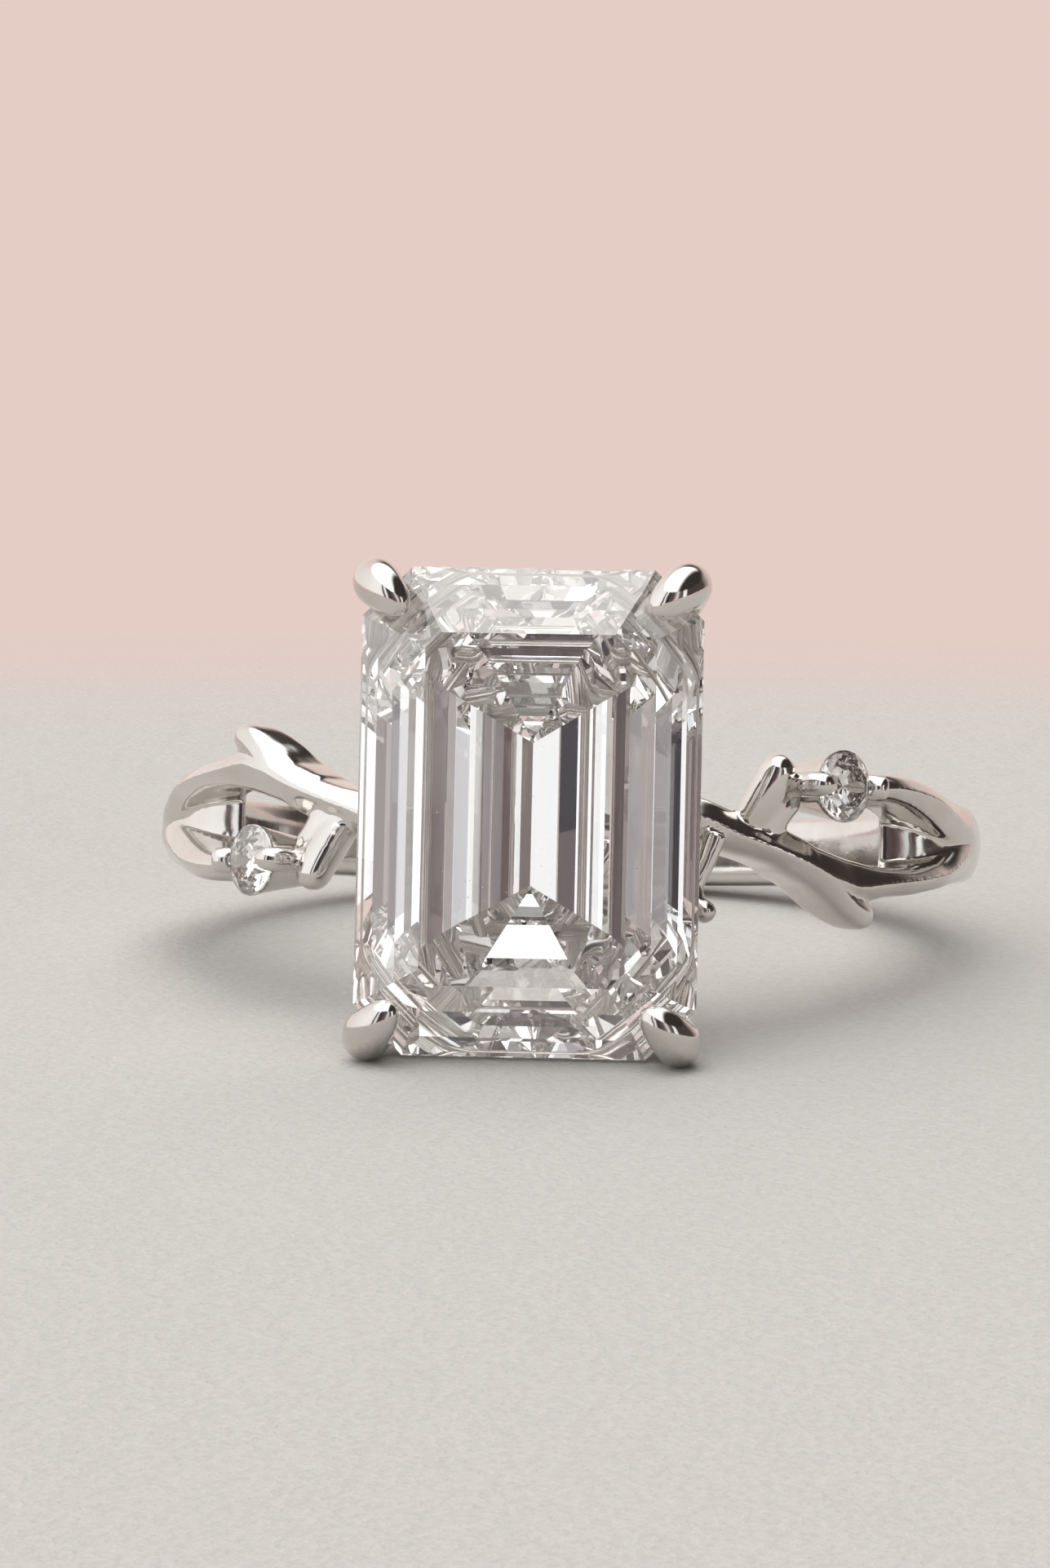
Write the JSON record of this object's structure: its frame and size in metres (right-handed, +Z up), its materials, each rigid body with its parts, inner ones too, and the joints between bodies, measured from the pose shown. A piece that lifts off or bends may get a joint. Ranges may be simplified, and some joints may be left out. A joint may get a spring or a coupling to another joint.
{
  "type": "engagement ring",
  "caption": "Solitaire finger ring with a step-cut centre stone in corner claws on a twig-shaped band with small round side stones.",
  "frame": {"origin": "on the axis of the finger bore, at the middle of the band's width", "axes": "+Z up with the ring lying on its side on a table; the centre stone faces -Y and the back of the band is at +Y; the bore axis is tilted 11.45 degrees from +Z towards +Y, because the ring rests on the stone's lower edge and on the back of the band"},
  "size_m": [0.0196, 0.0248, 0.0107],
  "materials": {
    "white_gold": "high polish",
    "diamond": "polished facets"
  },
  "bodies": {
    "root": {"rear_shank": "white_gold", "cross_stem": "white_gold", "right_upper_branch": "white_gold", "right_lower_branch": "white_gold", "left_upper_branch": "white_gold", "left_lower_branch": "white_gold", "right_bud": "white_gold", "left_bud": "white_gold", "right_root_twig": "white_gold", "left_root_twig": "white_gold", "right_accent_cup": "white_gold", "left_accent_cup": "white_gold", "right_accent_inner_claw": "white_gold", "right_accent_outer_claw": "white_gold", "left_accent_inner_claw": "white_gold", "left_accent_outer_claw": "white_gold", "right_accent_stone": "diamond", "left_accent_stone": "diamond", "base_rail": "white_gold", "gallery_rail": "white_gold", "claw_top_left": "white_gold", "claw_top_right": "white_gold", "claw_bottom_left": "white_gold", "claw_bottom_right": "white_gold", "centre_stone": "diamond"}
  },
  "joints": []
}
